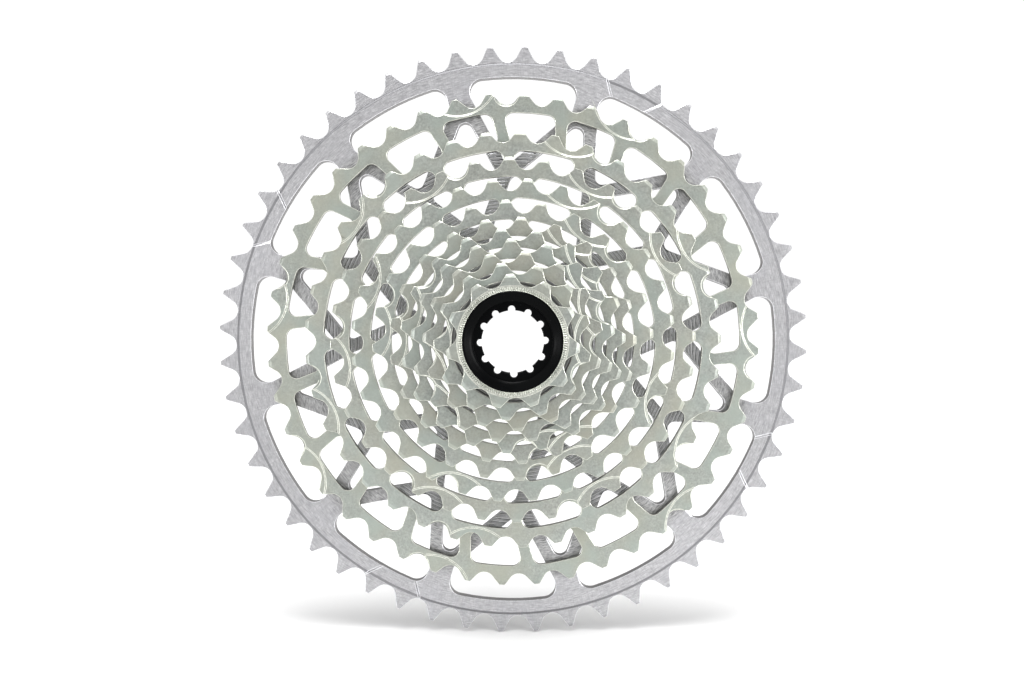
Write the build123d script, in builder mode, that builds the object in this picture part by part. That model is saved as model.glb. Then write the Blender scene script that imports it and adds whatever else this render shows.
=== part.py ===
"""Twelve-speed bicycle cassette, 11 to 52 teeth, millimetres.

The wheel axle runs along Y. The small end points along -Y and +Z is up. The origin is on the axle,
at the middle of the plain bore at the back of the aluminium carrier. A depth is a distance from the
origin towards the small end. Angles are clockwise from the top, seen from the small end.
"""

import os
from math import acos, cos, degrees, pi, radians, sin, tan

from build123d import *

# Chain and spacing
CHAIN_PITCH = 12.7
SEAT_RADIUS = 3.9  # the roller's seat at the root of a tooth gap
SPACING = 3.6  # from one sprocket's middle to the next
LARGEST_DEPTH = -5.2  # the largest sprocket hangs behind the freehub's shoulder
STEEL_PLATE = 1.8
TIP_CHAMFER = 0.45
TIP_CHAMFER_DEPTH = 1.3
GATE_DEPTH = 0.5  # shift gates are milled this deep into a sprocket's outer face
GATE_TAPER = 45  # degrees, the slope of a gate's wall
GATE_RADIUS = 15.0
GATE_REACH = 9.3  # from the pitch circle out to the middle of a gate's arc
RAMP_DEPTH = 0.8  # the tooth gap at the end of a gate is countersunk this deep
RAMP_SPREAD = 0.7  # how far its countersink reaches past the roller seat
RAMP_SHIFT = 0.35  # towards the tooth whose flank it thins

# Freehub splines
PILOT_RADIUS = 17.8
SPLINE_MAJOR = 17.4
SPLINE_MINOR = 16.0
KEY_WIDTHS = [3.9] * 8 + [2.4]  # one narrow key sets the position
KEY_STEP = 360 / len(KEY_WIDTHS)

# Aluminium carrier
CARRIER_TEETH_THICKNESS = 1.9
CARRIER_TEETH_FRONT = LARGEST_DEPTH + CARRIER_TEETH_THICKNESS / 2
CARRIER_TEETH_BACK = LARGEST_DEPTH - CARRIER_TEETH_THICKNESS / 2
CARRIER_TIP_CHAMFER = 0.35
CARRIER_TIP_CHAMFER_DEPTH = 0.9
RIM_FRONT = LARGEST_DEPTH + 1.2
RIM_BACK = LARGEST_DEPTH - 3.2
RIM_STEP_RADIUS = 100.8  # outside this circle the toothed ring is thinner
RIM_INNER = 95.8
SPOKE_WIDTH = 8.6
ARM_WIDTH = 4.6
INNER_ARM_WIDTH = 6.4
SPOKES = 12
FIRST_SPOKE = 17.4
FORK_RADIUS = 88.0  # where a rim spoke's two branches start to part
FORK_OFFSET = 1.5  # degrees, the steeper branch starts this far clockwise
NODE_RADIUS = 60.0  # where neighbouring branches meet
NODE_OFFSET = 9.9  # degrees clockwise from the rim spoke
MERGE_RADIUS = 37.0  # where two struts join into one inner arm
MERGE_OFFSET = 14.2  # degrees clockwise from the first of its two nodes
HUB_RADIUS = 23.5
HUB_ARM_OFFSET = -13.5  # degrees, the inner arm's foot lags behind its top
ARM_SLOPE = 0.15  # the web rises this much for each millimetre towards the hub
SLOPE_START = 72.0
HUB_FRONT = LARGEST_DEPTH + 12.4
PILOT_LENGTH = 4.0
HUB_BACK = -PILOT_LENGTH / 2
WEB_THICKNESS = 3.4
GROOVE_PITCH = 1.3  # turned grooves on the web's front
GROOVE_DEPTH = 0.3

# End sprocket and lockring
BOSS_RADIUS = 18.4
FACE_RING_RADIUS = 18.55  # the raised ring on the end sprocket's face, at its foot
LIP_THICKNESS = 0.9
LOCKRING_BORE = 15.6  # the end sprocket's lip lets the lockring's thread through
SERRATIONS = 144
SERRATION_RING = (16.95, 17.85)
SERRATION_DEPTH = 0.3
SERRATION_WIDTH = 0.14  # at the bottom of a groove
SERRATION_TAPER = 35
FLANGE_RADIUS = 16.8
FLANGE_THICKNESS = 1.3
THREAD_RADIUS = 15.2
THREAD_PITCH = 1.06
THREAD_DEPTH = 0.6
BARREL_LENGTH = 7.4
TOOL_MINOR = 10.4
TOOL_MAJOR = 12.0
TOOL_NOTCHES = 12
TOOL_NOTCH_RADIUS = 1.2
TOOL_NOTCH_PHASE = -2.0
TOOL_DEPTH = 5.4
BARREL_WALL_INNER = 13.1
WASHER_THICKNESS = 0.35

PIN_RADIUS = 0.6
PIN_DEPTH = 0.8  # how far a blind pin goes into each plate


class Sprocket:
    """One toothed plate: its teeth, its place in the stack and the windows behind the next one's rim."""

    def __init__(
        self,
        teeth,
        place,
        first_tooth,
        addendum,
        rim=0.0,
        first_spoke=0,
        spoke_width=3.0,
        corner=0.7,
        gates=(),
        tip_width=2.6,
        lean=0.0,
    ):
        self.teeth = teeth
        self.name = f"sprocket_{teeth}t"
        self.depth = LARGEST_DEPTH + place * SPACING
        self.front = self.depth + STEEL_PLATE / 2
        self.back = self.depth - STEEL_PLATE / 2
        self.first_tooth = first_tooth
        self.step = 360 / teeth
        self.pitch_radius = CHAIN_PITCH / (2 * sin(pi / teeth))
        self.root = self.pitch_radius - SEAT_RADIUS
        self.tip = self.pitch_radius + addendum
        self.window_outer = self.root - rim
        self.first_spoke = first_spoke
        self.spoke_width = spoke_width
        self.corner = corner
        self.gates = gates
        self.tip_width = tip_width
        self.lean = lean

    def joining_radius(self):
        """The middle of this sprocket's rim, where the pins from the next larger sprocket end."""
        return (self.window_outer + self.root) / 2


# first_spoke counts the next smaller sprocket's teeth: the spokes stand behind every second tooth.
CARRIER = Sprocket(52, 0, 2.4, addendum=2.3, tip_width=1.3, lean=-0.05)
SPROCKETS = [
    Sprocket(
        44,
        1,
        2.7,
        0.35,
        2.85,
        spoke_width=4.6,
        corner=2.9,
        gates=(27, 87, 134, 198, 238, 279, 348),
        tip_width=1.9,
        lean=-0.15,
    ),
    Sprocket(37, 2, 2.0, 0.1, 2.9, 1, spoke_width=3.9, corner=3.0, gates=(16, 62, 119, 190, 248, 305)),
    Sprocket(32, 3, 10.0, 0.5, 2.55, 0, spoke_width=4.9, corner=2.4, gates=(27, 60, 150, 204, 262, 330)),
    Sprocket(28, 4, 5.5, 0.6, 2.5, 1, spoke_width=4.4, corner=2.2, gates=(21, 110, 200, 290)),
    Sprocket(24, 5, 12.0, 0.65, 2.3, -2, spoke_width=5.2, corner=1.6, gates=(34, 154, 274)),
    Sprocket(21, 6, 4.0, 0.4, 2.3, 0, spoke_width=3.4, corner=0.8, gates=(30, 150, 270)),
    Sprocket(19, 7, 12.7, 0.3, 2.4, 0, gates=(44, 164, 284)),
    Sprocket(17, 8, 20.2, 0.35, 2.6, 0, gates=(50, 230)),
    Sprocket(15, 9, 8.5, 0.0, 2.75, 0, gates=(70, 250)),
    Sprocket(13, 10, 18.9, 0.0, 2.2, 0, gates=(90, 270)),
]
END = Sprocket(11, 11, 30.4, -0.1)
WINDOW_LEAN = {44: -2.6}  # degrees from a spoke's foot to its top, where it isn't radial
OWN_SPOKES = {44: [12.0 + 360 / 22 * k for k in range(22)]}
JOINING_MARGIN = 0.4  # the joining ring hides this far inside the next rim's edge
CARRIER_GATES = [26 + 90 * k for k in range(4)]
GATE_INNER = RIM_INNER - 2.0  # the carrier's gates run off the rim's inner edge
GATE_SHOULDER = 103.0
GATE_HALF_INNER = 2.9  # degrees
GATE_HALF_OUTER = 6.6


def polar(radius, angle):
    """A point at a radius and an angle in degrees clockwise from the top."""
    return Vector(radius * sin(radians(angle)), radius * cos(radians(angle)))


def turned(v, angle):
    """A vector turned anticlockwise by an angle in radians."""
    return Vector(v.X * cos(angle) - v.Y * sin(angle), v.X * sin(angle) + v.Y * cos(angle))


def seat_end(centre, corner, side):
    """Where the flank from a tooth's corner meets the roller seat, as a tangent."""
    towards = corner - centre
    offset = acos(SEAT_RADIUS / towards.length)
    return centre + turned(towards.normalized(), side * offset) * SEAT_RADIUS


def tooth_outline(s):
    """The closed outline of a sprocket's teeth, as edges in the current line builder."""
    half_tip = degrees(s.tip_width / 2 / s.tip)
    for k in range(s.teeth):
        tooth = s.first_tooth + s.step * k
        gap = tooth + s.step / 2
        centre = polar(s.pitch_radius, gap)
        left = polar(s.tip, tooth + half_tip + s.lean)
        right = polar(s.tip, tooth + s.step - half_tip + s.lean)
        seat_left = seat_end(centre, left, 1)
        seat_right = seat_end(centre, right, -1)
        Line(polar(s.tip, tooth - half_tip + s.lean), left)
        Line(left, seat_left)
        ThreePointArc(seat_left, polar(s.root, gap), seat_right)
        Line(seat_right, right)


def ring_window(inner, outer, start, stop, lean, corner):
    """A window in a plate between two circles and two spokes, with rounded corners."""
    with BuildSketch(Plane.XY) as window:
        with BuildLine():
            Polyline(
                polar(inner * 0.97, start - lean),
                polar(outer * 1.03, start),
                polar(outer * 1.12, (start + stop) / 2),
                polar(outer * 1.03, stop),
                polar(inner * 0.97, stop - lean),
                close=True,
            )
        make_face()
        Circle(outer, mode=Mode.INTERSECT)
        Circle(inner, mode=Mode.SUBTRACT)
        fillet(window.vertices(), corner)
    return window.sketch


def spoke_angles(s, smaller):
    """Middles of a sprocket's spokes: behind every second tooth of the next smaller one."""
    if s.teeth in OWN_SPOKES:
        return OWN_SPOKES[s.teeth]
    places = range(s.first_spoke, s.first_spoke + smaller.teeth - 1, 2)
    return [smaller.first_tooth + smaller.step * k for k in places]


def windows_of(s, smaller):
    """All the windows of a steel sprocket."""
    joining_outer = smaller.root - JOINING_MARGIN
    spokes = spoke_angles(s, smaller)
    half = degrees(s.spoke_width / 2 / s.window_outer)
    lean = WINDOW_LEAN.get(s.teeth, 0.0)
    return [
        ring_window(joining_outer, s.window_outer, start + half, stop - half, lean, s.corner)
        for start, stop in zip(spokes, spokes[1:] + [spokes[0] + 360])
    ]


def tip_profile(s):
    """Half a steel plate's cross-section outside its inner edge, with thinned tooth tips."""
    shoulder = s.tip - TIP_CHAMFER_DEPTH
    return [
        (shoulder, s.back),
        (s.tip + 0.01, s.back + TIP_CHAMFER),
        (s.tip + 0.01, s.front - TIP_CHAMFER),
        (shoulder, s.front),
    ]


def turn_to(profile):
    """Keep only what lies inside a turned shape, given as radius and depth pairs."""
    with BuildSketch(Plane.XY) as section:
        with BuildLine():
            Polyline(*[(radius, -depth) for radius, depth in profile], close=True)
        make_face()
    revolve(section.sketch, axis=Axis.Y, mode=Mode.INTERSECT)


def cylinders(radius, circle, angles, low, high, mode=Mode.ADD):
    """A ring of equal cylinders between two depths."""
    with BuildSketch(Plane.XZ.offset(low)) as circles:
        with Locations(*[polar(circle, angle) for angle in angles]):
            Circle(radius)
    extrude(circles.sketch, amount=high - low, mode=mode)


def cones(radius, circle, angles, low, high):
    """Cut a ring of equal cones into the current part: each widens towards the small end."""
    for angle in angles:
        spot = polar(circle, angle)
        with Locations(Location((spot.X, -low, spot.Y), (90, 0, 0))):
            Cone(
                radius,
                radius + (high - low) / tan(radians(GATE_TAPER)),
                high - low,
                align=(Align.CENTER, Align.CENTER, Align.MIN),
                mode=Mode.SUBTRACT,
            )


def ramp_gaps(s):
    """The middles of the tooth gaps that the gates' clockwise ends run into."""
    gate_circle = s.pitch_radius + GATE_REACH
    reach = s.pitch_radius**2 + gate_circle**2 - GATE_RADIUS**2
    half_gate = degrees(acos(reach / (2 * s.pitch_radius * gate_circle)))
    nearest = [round((gate + half_gate - s.first_tooth) / s.step - 0.5) for gate in s.gates]
    return [s.first_tooth + s.step * (k + 0.5) for k in nearest]


def spline_bore(depth, length):
    """Cut a freehub spline into the current part, from a depth towards the small end."""
    with BuildSketch(Plane.XZ.offset(depth)) as spline:
        Circle(SPLINE_MAJOR)
        for k, width in enumerate(KEY_WIDTHS):
            angle = radians(90 - KEY_STEP * k)
            reach = (SPLINE_MAJOR + SPLINE_MINOR) / 2 + 0.5
            with Locations(Location((reach * cos(angle), reach * sin(angle)), degrees(angle))):
                Rectangle(SPLINE_MAJOR - SPLINE_MINOR + 1.0, width, mode=Mode.SUBTRACT)
    extrude(spline.sketch, amount=length, mode=Mode.SUBTRACT)


# --- carrier --------------------------------------------------------------------------------------


def offset_line(a, b, shift):
    """The line from a inwards to b, moved sideways: a positive shift moves it clockwise."""
    along = (b - a).normalized()
    return a + Vector(-along.Y, along.X) * shift, along


def crossing(line_1, line_2):
    """The point where two lines cross."""
    (p, d), (q, e) = line_1, line_2
    t = ((q.X - p.X) * e.Y - (q.Y - p.Y) * e.X) / (d.X * e.Y - d.Y * e.X)
    return p + d * t


def steep_branch(spoke, shift):
    """A rim spoke's clockwise branch, from the fork down to its node."""
    top = polar(FORK_RADIUS, spoke + FORK_OFFSET)
    return offset_line(top, polar(NODE_RADIUS, spoke + NODE_OFFSET), shift)


def slanted_branch(spoke, shift):
    """A rim spoke's anticlockwise branch, down to the node before it."""
    top = polar(FORK_RADIUS, spoke)
    return offset_line(top, polar(NODE_RADIUS, spoke + NODE_OFFSET - 360 / SPOKES), shift)


def first_strut(node, shift):
    """The strut from a pair's first node down to where the pair merges."""
    return offset_line(polar(NODE_RADIUS, node), polar(MERGE_RADIUS, node + MERGE_OFFSET), shift)


def second_strut(node, shift):
    """The strut from a pair's second node down to where the pair merges."""
    merge = node + MERGE_OFFSET - 360 / SPOKES
    return offset_line(polar(NODE_RADIUS, node), polar(MERGE_RADIUS, merge), shift)


def inner_arm(merge, shift):
    """The arm from a merge down to the hub."""
    foot = polar(HUB_RADIUS, merge + HUB_ARM_OFFSET)
    return offset_line(polar(MERGE_RADIUS, merge), foot, shift)


def rim_window(spoke):
    """The window between a rim spoke and the next one clockwise, down to the node between them."""
    following = spoke + 360 / SPOKES
    rim_left = offset_line(polar(RIM_INNER, spoke), polar(FORK_RADIUS, spoke), SPOKE_WIDTH / 2)
    rim_right = offset_line(polar(RIM_INNER, following), polar(FORK_RADIUS, following), -SPOKE_WIDTH / 2)
    left = steep_branch(spoke, ARM_WIDTH / 2)
    right = slanted_branch(following, -ARM_WIDTH / 2)
    with BuildSketch(Plane.XY) as window:
        with BuildLine():
            Polyline(
                rim_left[0] * 1.05,
                polar(RIM_INNER * 1.1, spoke + 180 / SPOKES),
                rim_right[0] * 1.05,
                crossing(rim_right, right),
                crossing(left, right),
                crossing(rim_left, left),
                close=True,
            )
        make_face()
        Circle(RIM_INNER, mode=Mode.INTERSECT)
        fillet(window.vertices().filter_by(lambda v: Vector(v).length > RIM_INNER - 0.5), 4.6)
        fillet(window.vertices().filter_by(lambda v: Vector(v).length < FORK_RADIUS + 2), 2.4)
    return window.sketch


def closed_window(spoke):
    """The window under a fork whose two nodes share a merge."""
    right = steep_branch(spoke, -ARM_WIDTH / 2)
    left = slanted_branch(spoke, ARM_WIDTH / 2)
    node = spoke + NODE_OFFSET
    strut_right = second_strut(node, -ARM_WIDTH / 2)
    strut_left = first_strut(node - 360 / SPOKES, ARM_WIDTH / 2)
    with BuildSketch(Plane.XY) as window:
        with BuildLine():
            Polyline(
                crossing(left, right),
                crossing(right, strut_right),
                crossing(strut_right, strut_left),
                crossing(strut_left, left),
                close=True,
            )
        make_face()
        fillet(window.vertices(), 2.8)
    return window.sketch


def open_window(spoke):
    """The window under a fork whose two nodes lean apart: it reaches down to the hub."""
    right = steep_branch(spoke, -ARM_WIDTH / 2)
    left = slanted_branch(spoke, ARM_WIDTH / 2)
    node = spoke + NODE_OFFSET
    merge = node + MERGE_OFFSET
    strut_right = first_strut(node, -ARM_WIDTH / 2)
    strut_left = second_strut(node - 360 / SPOKES, ARM_WIDTH / 2)
    arm_right = inner_arm(merge, -INNER_ARM_WIDTH / 2)
    arm_left = inner_arm(merge - 720 / SPOKES, INNER_ARM_WIDTH / 2)
    with BuildSketch(Plane.XY) as window:
        with BuildLine():
            Polyline(
                crossing(left, right),
                crossing(right, strut_right),
                crossing(strut_right, arm_right),
                arm_right[0] + arm_right[1] * 20,
                arm_left[0] + arm_left[1] * 20,
                crossing(strut_left, arm_left),
                crossing(left, strut_left),
                close=True,
            )
        make_face()
        Circle(HUB_RADIUS, mode=Mode.SUBTRACT)
        fillet(window.vertices(), 2.8)
    return window.sketch


def web_front(radius):
    """Depth of the web's front face at a radius."""
    return RIM_FRONT + max(SLOPE_START - radius, 0) * ARM_SLOPE


def carrier_profile():
    """Half the carrier's cross-section: toothed ring, rim, grooved web and hub."""
    shoulder = CARRIER.tip - CARRIER_TIP_CHAMFER_DEPTH
    front = [(CARRIER.tip + 0.01, CARRIER_TEETH_FRONT - CARRIER_TIP_CHAMFER), (shoulder, CARRIER_TEETH_FRONT)]
    front += [(RIM_STEP_RADIUS, CARRIER_TEETH_FRONT), (RIM_STEP_RADIUS - 0.6, RIM_FRONT)]
    grooves = int((SLOPE_START - HUB_RADIUS - 3) / GROOVE_PITCH)
    for k in range(grooves):
        crest = SLOPE_START - GROOVE_PITCH * k
        front += [(crest, web_front(crest)), (crest - GROOVE_PITCH * 0.75, web_front(crest) - GROOVE_DEPTH)]
    foot = SLOPE_START - GROOVE_PITCH * grooves
    front += [(foot, web_front(foot)), (HUB_RADIUS, HUB_FRONT), (SPLINE_MINOR - 2, HUB_FRONT)]
    back = [(SPLINE_MINOR - 2, HUB_BACK), (HUB_RADIUS + 1, HUB_BACK)]
    back += [(HUB_RADIUS + 6, web_front(HUB_RADIUS + 6) - WEB_THICKNESS), (SLOPE_START, RIM_BACK)]
    back += [(RIM_STEP_RADIUS - 0.6, RIM_BACK), (RIM_STEP_RADIUS, CARRIER_TEETH_BACK)]
    back += [(shoulder, CARRIER_TEETH_BACK), (CARRIER.tip + 0.01, CARRIER_TEETH_BACK + CARRIER_TIP_CHAMFER)]
    return front + back


SPOKE_ANGLES = [FIRST_SPOKE + 360 / SPOKES * k for k in range(SPOKES)]
LARGEST_STEEL = SPROCKETS[0]
CARRIER_PIN_CIRCLE = SPROCKETS[1].joining_radius()  # under the joining ring of the largest steel sprocket
CARRIER_PIN_ANGLES = [angle - 10.8 for angle in SPOKE_ANGLES]  # one on each slanted branch
CARRIER_FRONT_AT_PINS = web_front(CARRIER_PIN_CIRCLE) - GROOVE_DEPTH

with BuildPart() as carrier_52t:
    with BuildSketch(Plane.XZ.offset(RIM_BACK - 1)):
        with BuildLine():
            tooth_outline(CARRIER)
        make_face()
        for k, spoke_angle in enumerate(SPOKE_ANGLES):
            add(rim_window(spoke_angle), mode=Mode.SUBTRACT)
            add(closed_window(spoke_angle) if k % 2 else open_window(spoke_angle), mode=Mode.SUBTRACT)
    extrude(amount=HUB_FRONT - RIM_BACK + 2)
    turn_to(carrier_profile())
    with BuildSketch(Plane.XZ.offset(HUB_BACK)):
        Circle(PILOT_RADIUS)
    extrude(amount=PILOT_LENGTH, mode=Mode.SUBTRACT)
    spline_bore(HUB_BACK + PILOT_LENGTH, HUB_FRONT)
    with BuildSketch(Plane.XZ.offset(CARRIER_TEETH_FRONT - GATE_DEPTH)):
        for gate in CARRIER_GATES:
            with BuildLine():
                Polyline(
                    polar(GATE_INNER, gate - GATE_HALF_INNER),
                    polar(GATE_SHOULDER, gate - GATE_HALF_OUTER),
                    polar(CARRIER.tip + 3, gate - GATE_HALF_OUTER),
                    polar(CARRIER.tip + 3, gate + GATE_HALF_OUTER),
                    polar(GATE_SHOULDER, gate + GATE_HALF_OUTER),
                    polar(GATE_INNER, gate + GATE_HALF_INNER),
                    close=True,
                )
            make_face()
    extrude(amount=RIM_FRONT - CARRIER_TEETH_FRONT + GATE_DEPTH + 0.5, taper=-GATE_TAPER, mode=Mode.SUBTRACT)
    cylinders(
        PIN_RADIUS,
        CARRIER_PIN_CIRCLE,
        CARRIER_PIN_ANGLES,
        CARRIER_FRONT_AT_PINS - PIN_DEPTH,
        CARRIER_FRONT_AT_PINS + 2,
        Mode.SUBTRACT,
    )
carrier_52t.part.label = "carrier_52t"

with BuildPart() as pins_52_44:
    cylinders(
        PIN_RADIUS,
        CARRIER_PIN_CIRCLE,
        CARRIER_PIN_ANGLES,
        CARRIER_FRONT_AT_PINS - PIN_DEPTH,
        LARGEST_STEEL.back + PIN_DEPTH,
    )
pins_52_44.part.label = "pins_52_44"

# --- steel sprockets joined by blind pins ---------------------------------------------------------


def steel_sprocket(s, larger_pins, smaller):
    """One plate of the steel cluster. larger_pins are the circle and angles of the pins behind it."""
    inner = smaller.window_outer + JOINING_MARGIN if smaller is not END else SPLINE_MINOR - 1
    with BuildPart() as plate:
        with BuildSketch(Plane.XZ.offset(s.back - 1)):
            with BuildLine():
                tooth_outline(s)
            make_face()
            Circle(inner, mode=Mode.SUBTRACT)
            for window in windows_of(s, smaller):
                add(window, mode=Mode.SUBTRACT)
        extrude(amount=STEEL_PLATE + 2)
        turn_to([(inner - 1, s.back)] + tip_profile(s) + [(inner - 1, s.front)])
        gate_circle = s.pitch_radius + GATE_REACH
        cones(GATE_RADIUS, gate_circle, s.gates, s.front - GATE_DEPTH, s.front + 0.5)
        ramps = [angle - degrees(RAMP_SHIFT / s.pitch_radius) for angle in ramp_gaps(s)]
        ramp_bottom = SEAT_RADIUS + RAMP_SPREAD - RAMP_DEPTH
        cones(ramp_bottom, s.pitch_radius, ramps, s.front - RAMP_DEPTH, s.front + 0.5)
        cylinders(PIN_RADIUS, *larger_pins, s.back - 1, s.back + PIN_DEPTH, Mode.SUBTRACT)
        if smaller is END:
            spline_bore(s.back - 1, STEEL_PLATE + 2)
        else:
            angles = spoke_angles(s, smaller)
            circle = smaller.joining_radius()
            cylinders(PIN_RADIUS, circle, angles, s.front - PIN_DEPTH, s.front + 1, Mode.SUBTRACT)
    plate.part.label = s.name
    return plate.part


def gap_pins(s, smaller):
    """The blind pins between two neighbouring steel sprockets."""
    with BuildPart() as pins:
        circle = smaller.joining_radius()
        low = s.front - PIN_DEPTH
        cylinders(PIN_RADIUS, circle, spoke_angles(s, smaller), low, smaller.back + PIN_DEPTH)
    pins.part.label = f"pins_{s.teeth}_{smaller.teeth}"
    return pins.part


pieces = [carrier_52t.part, pins_52_44.part]
pins_behind = (CARRIER_PIN_CIRCLE, CARRIER_PIN_ANGLES)
for sprocket, next_smaller in zip(SPROCKETS, SPROCKETS[1:] + [END]):
    pieces.append(steel_sprocket(sprocket, pins_behind, next_smaller))
    if next_smaller is not END:
        pieces.append(gap_pins(sprocket, next_smaller))
        pins_behind = (next_smaller.joining_radius(), spoke_angles(sprocket, next_smaller))

# --- end sprocket ---------------------------------------------------------------------------------

END_FACE = END.front + 0.15  # the serrated ring stands a little proud
with BuildPart() as sprocket_11t:
    with BuildSketch(Plane.XZ.offset(SPROCKETS[-1].front)):
        with BuildLine():
            tooth_outline(END)
        make_face()
    extrude(amount=END_FACE - SPROCKETS[-1].front)
    turn_to(
        [(LOCKRING_BORE, SPROCKETS[-1].front), (BOSS_RADIUS, SPROCKETS[-1].front), (BOSS_RADIUS, END.back)]
        + tip_profile(END)
        + [(FACE_RING_RADIUS, END.front), (FACE_RING_RADIUS - 0.25, END_FACE), (LOCKRING_BORE, END_FACE)]
    )
    spline_bore(SPROCKETS[-1].front - 1, END.front - LIP_THICKNESS - SPROCKETS[-1].front + 1)
    with BuildSketch(Plane.XZ.offset(END_FACE - SERRATION_DEPTH)):
        with PolarLocations(sum(SERRATION_RING) / 2, SERRATIONS):
            Rectangle(SERRATION_RING[1] - SERRATION_RING[0], SERRATION_WIDTH)
    extrude(amount=SERRATION_DEPTH + 0.1, taper=-SERRATION_TAPER, mode=Mode.SUBTRACT)
sprocket_11t.part.label = "sprocket_11t"

# --- washer and lockring --------------------------------------------------------------------------

with BuildPart() as lockring_washer:
    with BuildSketch(Plane.XZ.offset(END_FACE)):
        Circle(FLANGE_RADIUS - 0.25)
        Circle(LOCKRING_BORE, mode=Mode.SUBTRACT)
    extrude(amount=WASHER_THICKNESS)
lockring_washer.part.label = "lockring_washer"

FLANGE_BACK = END_FACE + WASHER_THICKNESS
FLANGE_FRONT = FLANGE_BACK + FLANGE_THICKNESS
TOOL_FACE = FLANGE_BACK - 0.7
BARREL_END = FLANGE_BACK - BARREL_LENGTH
THREAD_START = FLANGE_BACK - 1.4
THREAD_TURNS = 5


def lockring_profile():
    """Half the lockring's cross-section: dished flange, tool ring, barrel and thread."""
    front = [(FLANGE_RADIUS, FLANGE_BACK), (FLANGE_RADIUS, FLANGE_FRONT - 0.35)]
    front += [(FLANGE_RADIUS - 0.35, FLANGE_FRONT), (FLANGE_RADIUS - 0.75, FLANGE_FRONT)]
    front += [(13.6, FLANGE_BACK + 0.35), (13.3, FLANGE_BACK + 0.1), (13.3, TOOL_FACE)]
    front += [(TOOL_MINOR + 0.3, TOOL_FACE), (TOOL_MINOR, TOOL_FACE - 0.3)]
    inside = [(TOOL_MINOR, TOOL_FACE - TOOL_DEPTH), (BARREL_WALL_INNER, TOOL_FACE - TOOL_DEPTH)]
    inside += [(BARREL_WALL_INNER, BARREL_END), (THREAD_RADIUS - THREAD_DEPTH, BARREL_END)]
    thread = []
    for k in range(THREAD_TURNS, 0, -1):
        crest = THREAD_START - THREAD_PITCH * (k - 0.5)
        thread += [(THREAD_RADIUS - THREAD_DEPTH, crest - THREAD_PITCH / 2), (THREAD_RADIUS, crest - 0.1)]
        thread += [(THREAD_RADIUS, crest + 0.1)]
    neck = [(THREAD_RADIUS - THREAD_DEPTH, THREAD_START), (THREAD_RADIUS - THREAD_DEPTH, FLANGE_BACK)]
    return front + inside + thread + neck


with BuildPart() as lockring:
    with BuildSketch(Plane.XY):
        with BuildLine():
            Polyline(*[(radius, -depth) for radius, depth in lockring_profile()], close=True)
        make_face()
    revolve(axis=Axis.Y)
    with BuildSketch(Plane.XZ.offset(TOOL_FACE - TOOL_DEPTH - 0.1)):
        notch_middle = TOOL_MAJOR - TOOL_NOTCH_RADIUS
        with PolarLocations(notch_middle, TOOL_NOTCHES, start_angle=90 - TOOL_NOTCH_PHASE):
            Circle(TOOL_NOTCH_RADIUS)
        with PolarLocations(notch_middle - 1, TOOL_NOTCHES, start_angle=90 - TOOL_NOTCH_PHASE):
            Rectangle(2, TOOL_NOTCH_RADIUS * 2)
    extrude(amount=TOOL_DEPTH + 2, mode=Mode.SUBTRACT)
lockring.part.label = "lockring"

pieces += [sprocket_11t.part, lockring_washer.part, lockring.part]
os.makedirs("parts", exist_ok=True)
for piece in pieces:
    export_step(piece, f"parts/{piece.label}.step")
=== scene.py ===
"""A bicycle cassette on a white studio floor, seen from its small end. Lengths are in metres."""

import math

import bpy
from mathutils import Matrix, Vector


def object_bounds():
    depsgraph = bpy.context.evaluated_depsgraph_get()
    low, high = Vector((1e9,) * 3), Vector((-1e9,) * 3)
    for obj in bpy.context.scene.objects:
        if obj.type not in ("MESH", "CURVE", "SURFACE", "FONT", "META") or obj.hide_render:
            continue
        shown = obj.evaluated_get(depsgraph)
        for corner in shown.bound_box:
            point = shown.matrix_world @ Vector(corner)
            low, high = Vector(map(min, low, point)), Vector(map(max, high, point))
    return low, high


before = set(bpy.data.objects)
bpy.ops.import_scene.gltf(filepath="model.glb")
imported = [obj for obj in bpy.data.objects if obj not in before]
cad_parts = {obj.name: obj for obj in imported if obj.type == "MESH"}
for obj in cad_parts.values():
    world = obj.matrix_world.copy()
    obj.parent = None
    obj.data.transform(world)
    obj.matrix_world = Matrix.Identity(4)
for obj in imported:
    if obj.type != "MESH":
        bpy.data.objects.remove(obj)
cad_low, cad_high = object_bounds()

MM = 0.001
STEELS = [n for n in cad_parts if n.startswith("sprocket_")]
PINS = [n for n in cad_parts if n.startswith("pins_")]
CARRIER = "carrier_52t"

# Radii on the carrier
RIM_STEP = 100.5 * MM  # the slope between the toothed ring and the rim
RIM_STEP_HALF_WIDTH = 0.45 * MM
ARMS_FROM = 89.5 * MM  # the arms' painted shade, a darker streaked colour, fades in from here
ARMS_FULL = 86.5 * MM
GROOVES_FROM = 72.0 * MM  # the arms are turned with grooves inside this radius
GROOVE_PITCH = 1.3 * MM

# The steel grain runs between these multiples of a sprocket's tint
STEEL_DARK = 0.74
STEEL_LIGHT = 1.17
TINTS = [(0.453, 0.478, 0.445), (0.443, 0.470, 0.434), (0.450, 0.466, 0.427)]
TONE_AND_PAINTED_SHADE = {
    44: 0.96, 37: 0.97, 32: 0.97, 28: 0.95, 24: 0.94, 21: 0.92, 19: 0.90, 17: 0.89, 15: 0.89, 13: 0.90, 11: 0.93
}  # a multiple of the tint, by number of teeth: partly a darker tone, partly painted shade that darkens the smaller sprockets

# Widths of the broken edges
STEEL_EDGE = 0.16 * MM
CARRIER_EDGE = 0.18 * MM
LOCKRING_EDGE = 0.10 * MM
SHARP = 28  # degrees, edges that turn by more than this are broken


# --- node helpers ---------------------------------------------------------------------------------


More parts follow.
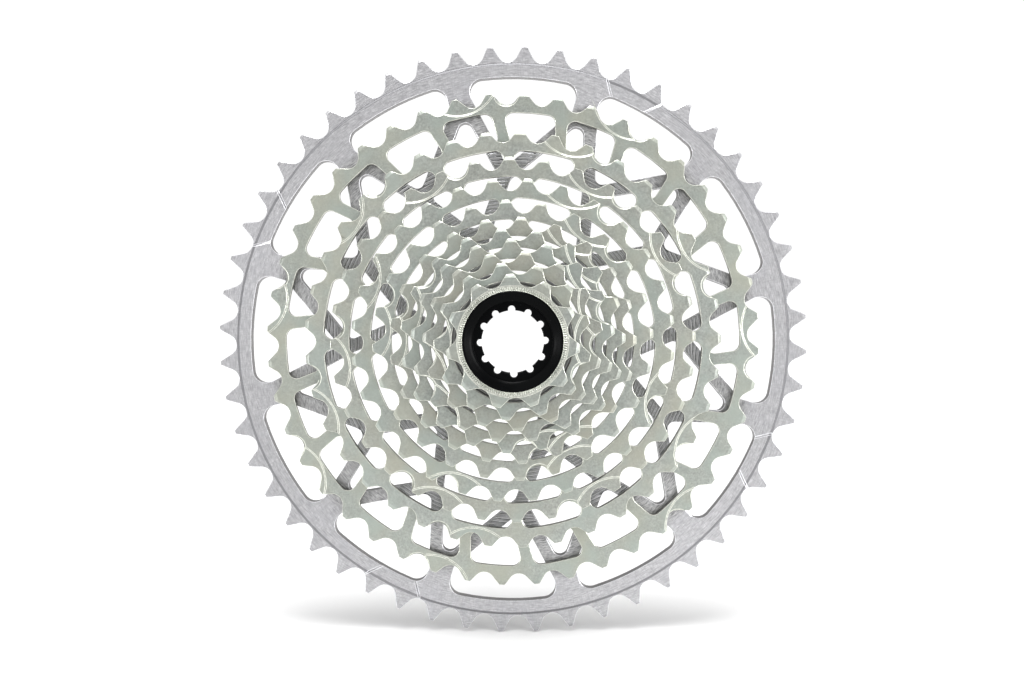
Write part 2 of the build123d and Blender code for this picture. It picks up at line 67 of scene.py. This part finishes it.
class Tree:
    """A shorthand for building a material's nodes."""

    def __init__(self, name):
        self.material = bpy.data.materials.new(name)
        self.material.use_nodes = True
        self.nodes = self.material.node_tree.nodes
        self.links = self.material.node_tree.links
        self.nodes.clear()
        self.output = self.nodes.new("ShaderNodeOutputMaterial")
        self.shader = self.nodes.new("ShaderNodeBsdfPrincipled")
        self.links.new(self.shader.outputs[0], self.output.inputs[0])
        self.position = self.nodes.new("ShaderNodeTexCoord").outputs["Object"]

    def put(self, socket, value):
        """Link a socket, or set its value."""
        if isinstance(value, bpy.types.NodeSocket):
            self.links.new(value, socket)
        else:
            socket.default_value = value

    def math(self, operation, a, b=0.0):
        """One arithmetic step."""
        node = self.nodes.new("ShaderNodeMath")
        node.operation = operation
        self.put(node.inputs[0], a)
        self.put(node.inputs[1], b)
        return node.outputs[0]

    def noise(self, vector, scale, detail=2.0, roughness=0.5):
        """Fractal noise at a place."""
        node = self.nodes.new("ShaderNodeTexNoise")
        self.put(node.inputs["Vector"], vector)
        for key, value in (("Scale", scale), ("Detail", detail), ("Roughness", roughness)):
            self.put(node.inputs[key], value)
        return node.outputs[0]

    def streaks(self, radius, angle, across, along, detail, roughness, layer=0.0):
        """Noise in polar coordinates: stretched round the axle where along is small against across."""
        place = self.vector(self.math("MULTIPLY", radius, across), self.math("MULTIPLY", angle, along), layer)
        return self.noise(place, 1.0, detail, roughness)

    def spread(self, value, low, high, to_low=0.0, to_high=1.0):
        """Map a range onto another, clamped."""
        node = self.nodes.new("ShaderNodeMapRange")
        for key, entry in ((0, value), (1, low), (2, high), (3, to_low), (4, to_high)):
            self.put(node.inputs[key], entry)
        return node.outputs[0]

    def mix(self, factor, a, b):
        """Mix two colours."""
        node = self.nodes.new("ShaderNodeMix")
        node.data_type = "RGBA"
        self.put(node.inputs[0], factor)
        self.put(node.inputs[6], a)
        self.put(node.inputs[7], b)
        return node.outputs[2]

    def polar(self):
        """Radius from the axle and angle round it, for turned and brushed finishes."""
        split = self.nodes.new("ShaderNodeSeparateXYZ")
        self.put(split.inputs[0], self.position)
        x, _, z = split.outputs
        square = self.math("ADD", self.math("MULTIPLY", x, x), self.math("MULTIPLY", z, z))
        return self.math("SQRT", square), self.math("ARCTAN2", x, z)

    def wall_shade_mask(self):
        """1 on walls that run along the axle, 0 on faces across it: the mask for painted shade on the walls."""
        split = self.nodes.new("ShaderNodeSeparateXYZ")
        self.put(split.inputs[0], self.nodes.new("ShaderNodeTexCoord").outputs["Normal"])
        return self.spread(self.math("ABSOLUTE", split.outputs[1]), 0.25, 0.65, 1.0, 0.0)

    def vector(self, x, y, z):
        """Three numbers as one vector."""
        node = self.nodes.new("ShaderNodeCombineXYZ")
        for socket, value in zip(node.inputs, (x, y, z)):
            self.put(socket, value)
        return node.outputs[0]

    def bump(self, height, distance, strength):
        """A surface normal that follows a height."""
        node = self.nodes.new("ShaderNodeBump")
        self.put(node.inputs["Height"], height)
        self.put(node.inputs["Distance"], distance)
        self.put(node.inputs["Strength"], strength)
        return node.outputs[0]

    def finish(self, **sockets):
        """Fill the shader's sockets, named with _ for a space, and give back the material."""
        for key, value in sockets.items():
            self.put(self.shader.inputs[key.replace("_", " ")], value)
        return self.material


def rgb(r, g, b):
    """An opaque colour."""
    return (r, g, b, 1.0)


def scaled(tint, factor):
    """An opaque colour that is a multiple of a tint."""
    return rgb(*[c * factor for c in tint])


def satin_steel(name, tint, seed):
    """Plated steel: a mottled satin grain, lapping scratches, greenish and straw coloured patches, and painted
    shade on the walls along the axle.
    """
    t = Tree(name)
    shift = t.nodes.new("ShaderNodeVectorMath")
    shift.operation = "ADD"
    t.put(shift.inputs[0], t.position)
    shift.inputs[1].default_value = (seed * 0.37, seed * 0.11, seed * 0.53)
    place = shift.outputs[0]
    cloud = t.noise(place, 42.0, 3.0, 0.55)
    patch = t.noise(place, 95.0, 2.0, 0.5)
    grain = t.noise(place, 1500.0, 4.0, 0.65)
    mottle = t.noise(place, 620.0, 2.0, 0.5)
    pits = t.noise(place, 5200.0, 1.0, 0.5)
    radius, angle = t.polar()
    lapping = t.streaks(radius, angle, 3200.0, 14.0, 3.0, 0.6)
    straw = rgb(tint[0], tint[1] * 0.955, tint[2] * 0.86)
    green = rgb(tint[0] * 0.93, tint[1] * 0.985, tint[2] * 0.97)
    colour = t.mix(t.spread(grain, 0.34, 0.66), scaled(tint, STEEL_DARK), scaled(tint, STEEL_LIGHT))
    colour = t.mix(t.spread(mottle, 0.35, 0.70, 0.0, 0.45), colour, scaled(tint, STEEL_DARK * 0.90))
    colour = t.mix(t.spread(cloud, 0.42, 0.66, 0.0, 0.65), colour, straw)
    colour = t.mix(t.spread(patch, 0.48, 0.66, 0.0, 0.60), colour, green)
    # painted shade: walls that run along the axle are coloured dark brown-grey, as if in shade
    colour = t.mix(t.math("MULTIPLY", t.wall_shade_mask(), 0.75), colour, rgb(0.27, 0.26, 0.23))
    roughness = t.math("ADD", t.spread(grain, 0.3, 0.7, 0.36, 0.49), t.spread(cloud, 0.3, 0.7, -0.03, 0.04))
    height = t.math("ADD", t.math("MULTIPLY", grain, 0.7), t.math("MULTIPLY", pits, 0.3))
    height = t.math("ADD", height, t.math("MULTIPLY", lapping, 0.25))
    normal = t.bump(height, 0.02 * MM, 0.5)
    return t.finish(Base_Color=colour, Metallic=1.0, Roughness=roughness, Normal=normal)


def painted_highlight_edge(name, tint):
    """Painted highlight along a broken edge: metal coloured brighter than the faces, with small dull nicks."""
    t = Tree(name)
    nicks = t.noise(t.position, 900.0, 3.0, 0.6)
    slow = t.noise(t.position, 120.0, 2.0, 0.5)
    # painted highlight: the edge colour runs up to 1.35 times the tint, brighter than the faces
    colour = t.mix(t.spread(nicks, 0.46, 0.70), scaled(tint, 1.35), scaled(tint, 0.85))
    roughness = t.math("ADD", t.spread(nicks, 0.3, 0.7, 0.26, 0.42), t.spread(slow, 0.3, 0.7, -0.05, 0.05))
    normal = t.bump(nicks, 0.03 * MM, 0.4)
    return t.finish(Base_Color=colour, Metallic=1.0, Roughness=roughness, Normal=normal)


def brushed_alloy(name):
    """Turned aluminium: short streaks round the axle, a cross hatch and grooved arms inside the rim, with
    painted shade on the arms, the rim step and the walls, and painted light and shade on the grooves.
    """
    t = Tree(name)
    radius, angle = t.polar()
    wander = t.noise(t.position, 30.0, 2.0)
    spiral = t.math("ADD", radius, t.math("MULTIPLY", wander, 2.5 * MM))
    fine = t.streaks(spiral, angle, 2600.0, 34.0, 4.0, 0.7)
    broad = t.streaks(spiral, angle, 620.0, 11.0, 3.0, 0.6, 3.0)
    hatch = t.streaks(radius, angle, 420.0, 190.0, 3.0, 0.65, 7.0)
    cloud = t.noise(t.position, 55.0, 3.0, 0.6)
    colour = t.mix(t.spread(fine, 0.32, 0.68), rgb(0.281, 0.279, 0.291), rgb(0.646, 0.643, 0.656))
    colour = t.mix(t.spread(hatch, 0.45, 0.70, 0.0, 0.6), colour, rgb(0.34, 0.336, 0.348))
    colour = t.mix(t.spread(broad, 0.42, 0.75, 0.0, 0.45), colour, rgb(0.399, 0.395, 0.41))
    colour = t.mix(t.spread(cloud, 0.5, 0.8, 0.0, 0.35), colour, rgb(0.451, 0.451, 0.484))
    # painted shade: the arms inside the rim are coloured darker, as if in the shadow of the steel cluster
    arm_shade_blend = t.spread(radius, ARMS_FROM, ARMS_FULL, 0.0, 0.75)
    arm_painted_shade = t.mix(t.spread(fine, 0.38, 0.62), rgb(0.17, 0.17, 0.17), rgb(0.561, 0.561, 0.557))
    colour = t.mix(arm_shade_blend, colour, arm_painted_shade)
    # painted light and shade: bright and dark rings that follow the turned grooves, as light falls on their
    # slopes
    groove = t.math("FRACT", t.math("DIVIDE", t.math("SUBTRACT", GROOVES_FROM, radius), GROOVE_PITCH))
    groove_painted_light = t.mix(t.spread(groove, 0.10, 0.75), rgb(0.799, 0.799, 0.807), rgb(0.204, 0.204, 0.212))
    grooved = t.math("LESS_THAN", radius, GROOVES_FROM)
    colour = t.mix(t.math("MULTIPLY", grooved, 0.8), colour, groove_painted_light)
    # painted shade: a dark band on the slope between the toothed ring and the rim
    off_step = t.math("ABSOLUTE", t.math("SUBTRACT", radius, RIM_STEP))
    step_painted_shade = t.math("LESS_THAN", off_step, RIM_STEP_HALF_WIDTH)
    colour = t.mix(t.math("MULTIPLY", step_painted_shade, 0.75), colour, rgb(0.187, 0.187, 0.196))
    # painted shade: walls that run along the axle are coloured dark and made mostly non-metallic
    wall_shade_mask = t.wall_shade_mask()
    colour = t.mix(t.math("MULTIPLY", wall_shade_mask, 0.85), colour, rgb(0.17, 0.162, 0.162))
    metal = t.math("SUBTRACT", 1.0, t.math("MULTIPLY", wall_shade_mask, 0.9))
    roughness = t.math("ADD", t.spread(fine, 0.3, 0.7, 0.42, 0.56), t.spread(hatch, 0.3, 0.7, -0.03, 0.05))
    height = t.math("ADD", t.math("MULTIPLY", fine, 0.6), t.math("MULTIPLY", broad, 0.4))
    height = t.math("ADD", height, t.math("MULTIPLY", hatch, 0.5))
    normal = t.bump(height, 0.03 * MM, 0.6)
    tangent = t.nodes.new("ShaderNodeTangent")
    tangent.direction_type = "RADIAL"
    tangent.axis = "Y"
    return t.finish(
        Base_Color=colour,
        Metallic=metal,
        Roughness=roughness,
        Normal=normal,
        Anisotropic=0.6,
        Tangent=tangent.outputs[0],
    )


def gloss_black(name):
    """Black anodised alloy with a gloss that fine turning lines and handling haze break up."""
    t = Tree(name)
    radius, angle = t.polar()
    turning = t.streaks(radius, angle, 2400.0, 3.0, 2.0, 0.5)
    haze = t.noise(t.position, 160.0, 4.0, 0.6)
    dust = t.noise(t.position, 2600.0, 2.0, 0.5)
    colour = t.mix(t.spread(dust, 0.68, 0.80, 0.0, 0.5), rgb(0.0010, 0.0012, 0.0014), rgb(0.006, 0.006, 0.007))
    roughness = t.math("ADD", t.spread(haze, 0.3, 0.7, 0.13, 0.27), t.spread(turning, 0.3, 0.7, 0.0, 0.06))
    normal = t.bump(turning, 0.012 * MM, 0.4)
    t.shader.inputs["Specular IOR Level"].default_value = 0.055
    return t.finish(Base_Color=colour, Metallic=0.0, Roughness=roughness, Normal=normal)


# --- the CAD pieces' finishes ---------------------------------------------------------------------


def assign(node, material):
    """Give a CAD piece one material in all its slots."""
    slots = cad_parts[node].data.materials
    for k in range(len(slots)):
        slots[k] = material
    if not len(slots):
        slots.append(material)


def soften(node, width, edge):
    """Break a piece's sharp edges with a small bevel in its own material, which paints a highlight along the
    edges of the steel and the carrier.
    """
    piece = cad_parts[node]
    piece.data.materials.append(edge)
    weld = piece.modifiers.new("weld", "WELD")
    weld.merge_threshold = 0.001 * MM
    bevel = piece.modifiers.new("edges", "BEVEL")
    bevel.width = width
    bevel.segments = 2
    bevel.limit_method = "ANGLE"
    bevel.angle_limit = math.radians(SHARP)
    bevel.harden_normals = False
    bevel.use_clamp_overlap = False
    bevel.material = len(piece.data.materials) - 1


steel_edge_highlight = painted_highlight_edge("steel_edge_highlight", (0.58, 0.59, 0.53))
for k, node in enumerate(sorted(STEELS)):
    # painted shade in part: the tint is scaled down for the smaller sprockets in the middle
    tone_and_shade = TONE_AND_PAINTED_SHADE[int(node.split("_")[1].rstrip("t"))]
    tint = [c * tone_and_shade for c in TINTS[k % len(TINTS)]]
    assign(node, satin_steel(f"satin_steel_{k}", tint, k))
    soften(node, STEEL_EDGE, steel_edge_highlight)
for node in PINS + ["lockring_washer"]:
    assign(node, satin_steel(f"pin_steel_{node}", (0.64, 0.64, 0.62), 20))
assign(CARRIER, brushed_alloy("brushed_alloy"))
soften(CARRIER, CARRIER_EDGE, painted_highlight_edge("alloy_edge_highlight", (0.62, 0.62, 0.64)))
black = gloss_black("gloss_black")
assign("lockring", black)
soften("lockring", LOCKRING_EDGE, black)

# --- camera ---------------------------------------------------------------------------------------

LARGEST_PLANE = 5.2 * MM
CAMERA_DISTANCE = 413.0 * MM
CAMERA_DOWN = 0.99  # degrees
CAMERA_LEFT = 0.14
camera_data = bpy.data.cameras.new("camera")
camera_data.lens = 39.6  # millimetres, as on the sensor
camera_data.sensor_width = 36.0
camera_data.clip_start = 0.01
camera = bpy.data.objects.new("camera", camera_data)
camera.location = (0.66 * MM, LARGEST_PLANE - CAMERA_DISTANCE, 6.5 * MM)
camera.rotation_euler = (math.radians(90 - CAMERA_DOWN), 0.0, math.radians(CAMERA_LEFT))
bpy.context.scene.collection.objects.link(camera)
bpy.context.scene.camera = camera

# --- floor, surroundings and lights ---------------------------------------------------------------

FLOOR_HALF = 20.0
FLOOR_GAP = 0.05 * MM
FLOOR_FADE_FROM = -0.07
FLOOR_FADE_TO = -0.40
CENTRE = Vector((0.0, 0.0, 0.0))


def white_floor():
    """A pale floor under the teeth, greyer in front so that the plates don't reflect it too brightly."""
    t = Tree("white_floor")
    split = t.nodes.new("ShaderNodeSeparateXYZ")
    t.put(split.inputs[0], t.position)
    patches = t.spread(t.noise(t.position, 6.0, 2.0), 0.4, 0.6)
    paper = t.mix(patches, rgb(0.90, 0.90, 0.90), rgb(0.92, 0.92, 0.92))
    colour = t.mix(t.spread(split.outputs[1], FLOOR_FADE_FROM, FLOOR_FADE_TO), paper, rgb(0.62, 0.62, 0.62))
    material = t.finish(Base_Color=colour, Roughness=0.7)
    mesh = bpy.data.meshes.new("floor")
    z = cad_low.z - FLOOR_GAP
    corners = [(x * FLOOR_HALF, y * FLOOR_HALF, z) for x, y in ((-1, -1), (1, -1), (1, 1), (-1, 1))]
    mesh.from_pydata(corners, [], [(0, 1, 2, 3)])
    mesh.materials.append(material)
    floor = bpy.data.objects.new("floor", mesh)
    bpy.context.scene.collection.objects.link(floor)


def surroundings():
    """A room that lights the object, greyer in front and behind, and a white backdrop for the camera."""
    world = bpy.data.worlds.new("studio")
    bpy.context.scene.world = world
    world.use_nodes = True
    nodes, links = world.node_tree.nodes, world.node_tree.links
    nodes.clear()
    split = nodes.new("ShaderNodeSeparateXYZ")
    links.new(nodes.new("ShaderNodeTexCoord").outputs["Generated"], split.inputs[0])
    x, y, _ = split.outputs

    def smooth(value, low, high, to_low, to_high):
        node = nodes.new("ShaderNodeMapRange")
        node.interpolation_type = "SMOOTHSTEP"
        links.new(value, node.inputs[0])
        for socket, number in zip(list(node.inputs)[1:5], (low, high, to_low, to_high)):
            socket.default_value = number
        return node.outputs[0]

    def background(strength):
        node = nodes.new("ShaderNodeBackground")
        node.inputs["Color"].default_value = rgb(1.0, 1.0, 1.0)
        if isinstance(strength, bpy.types.NodeSocket):
            links.new(strength, node.inputs["Strength"])
        else:
            node.inputs["Strength"].default_value = strength
        return node.outputs[0]

    side = nodes.new("ShaderNodeMath")
    side.operation = "MULTIPLY_ADD"
    links.new(x, side.inputs[0])
    side.inputs[1].default_value = 0.22  # brighter on the right
    links.new(smooth(y, -0.1, 0.4, 0.0, -0.45), side.inputs[2])
    both = nodes.new("ShaderNodeMath")
    both.operation = "ADD"
    links.new(smooth(y, -1.0, -0.2, 0.46, 0.98), both.inputs[0])
    links.new(side.outputs[0], both.inputs[1])
    choice = nodes.new("ShaderNodeMixShader")
    links.new(nodes.new("ShaderNodeLightPath").outputs["Is Camera Ray"], choice.inputs[0])
    links.new(background(both.outputs[0]), choice.inputs[1])
    links.new(background(1.05), choice.inputs[2])
    links.new(choice.outputs[0], nodes.new("ShaderNodeOutputWorld").inputs[0])


def softbox(name, location, width, height, power):
    """A rectangular area light that points at the object's centre."""
    data = bpy.data.lights.new(name, "AREA")
    data.shape = "RECTANGLE"
    data.size = width
    data.size_y = height
    data.energy = power
    light = bpy.data.objects.new(name, data)
    light.location = location
    light.rotation_euler = (CENTRE - Vector(location)).to_track_quat("-Z", "Y").to_euler()
    bpy.context.scene.collection.objects.link(light)


def overhead(elevation, softness, strength):
    """A soft sun high in front, whose shadow falls on the floor just behind the teeth."""
    data = bpy.data.lights.new("overhead", "SUN")
    data.angle = math.radians(softness)
    data.energy = strength
    light = bpy.data.objects.new("overhead", data)
    light.rotation_euler = (math.radians(90 - elevation), 0.0, 0.0)
    bpy.context.scene.collection.objects.link(light)


white_floor()
surroundings()
overhead(elevation=72, softness=34, strength=2.4)
softbox("right_side", (0.88, -0.85, 0.12), 0.30, 0.80, 6.4)
softbox("left_side", (-0.88, -0.85, -0.12), 0.30, 0.70, 5.0)
softbox("upper_left", (-0.42, -0.90, 0.62), 0.80, 0.80, 1.6)

bpy.context.scene.view_settings.view_transform = "Standard"
